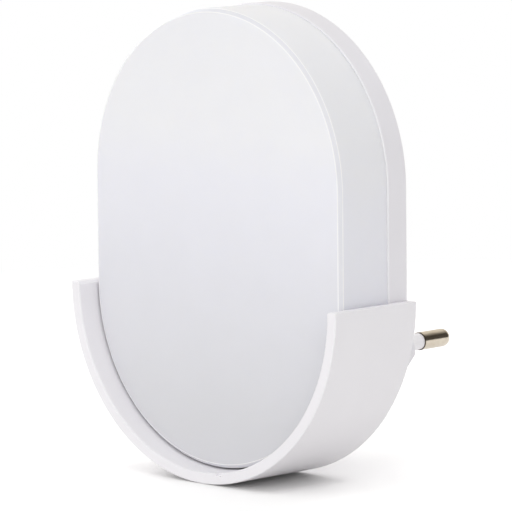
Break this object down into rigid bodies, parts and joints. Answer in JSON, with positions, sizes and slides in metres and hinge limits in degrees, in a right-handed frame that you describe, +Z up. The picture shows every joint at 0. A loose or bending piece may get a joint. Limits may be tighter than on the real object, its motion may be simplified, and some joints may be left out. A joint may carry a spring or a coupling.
{
  "type": "plug-in night light",
  "caption": "Pill-shaped opal night light on a Europlug, its lower half held in a half-round cradle that stands proud of the glowing front, with a small slide switch on one side.",
  "frame": {"origin": "midway between the two plug pins, on the plug boss's engagement face", "axes": "+Y points into the wall socket, so the lamp shines towards -Y; +Z is up; +X is to the right of someone who looks along +Y at the lamp's front"},
  "size_m": [0.0804, 0.0677, 0.1021],
  "materials": {
    "opal": "satin opal",
    "casing": "satin moulded",
    "cradle": "satin moulded",
    "plug_housing": "satin moulded",
    "pin_metal": "nickel plated, polished",
    "sleeve": "matte moulded",
    "inner_plastic": "natural nylon",
    "led_board": "white solder mask",
    "led_package": "white package, yellow phosphor",
    "chip": "black glaze",
    "reflector": "white diffuse film",
    "insulation": "milky polyester film",
    "driver_board": "green solder mask",
    "film_capacitor": "potted box",
    "can_capacitor": "dark shrink sleeve",
    "chip_package": "epoxy package",
    "fuse_body": "lacquered ceramic",
    "wire_red": "PVC insulation",
    "wire_black": "PVC insulation",
    "wire_brown": "PVC insulation",
    "wire_blue": "PVC insulation",
    "switch_steel": "tin plated",
    "switch_base": "phenolic board",
    "switch_contact_metal": "silver plated",
    "switch_slider": "acetal",
    "button": "satin moulded",
    "screw": "zinc plated"
  },
  "bodies": {
    "lamp": {"diffuser": "opal", "rear_casing": "casing", "cradle": "cradle", "plug_housing": "plug_housing", "plug_pin_left": "pin_metal", "plug_pin_right": "pin_metal", "pin_sleeve_left": "sleeve", "pin_sleeve_right": "sleeve", "pin_retainer": "inner_plastic", "led_board": "led_board", "leds": "led_package", "led_resistors": "chip", "reflector_sheet": "reflector", "insulating_sheet": "insulation", "driver_board": "driver_board", "dropper_capacitor": "film_capacitor", "smoothing_capacitor": "can_capacitor", "bridge_rectifier": "chip_package", "fusible_resistor": "fuse_body", "bleeder_resistors": "chip", "led_lead_positive": "wire_red", "led_lead_negative": "wire_black", "switch_lead_live": "wire_brown", "switch_lead_load": "wire_blue", "switch_frame": "switch_steel", "switch_base": "switch_base", "switch_terminals": "switch_contact_metal", "housing_screws": "screw", "board_screws": "screw", "cradle_screws": "screw"},
    "switch": {"switch_slider": "switch_slider", "switch_contact": "switch_contact_metal", "switch_button": "button"}
  },
  "joints": [
    {"name": "switch_slide", "type": "slide", "parent": "lamp", "child": "switch", "axis": [0, 0, 1], "range_m": [0, 0.0025]}
  ]
}
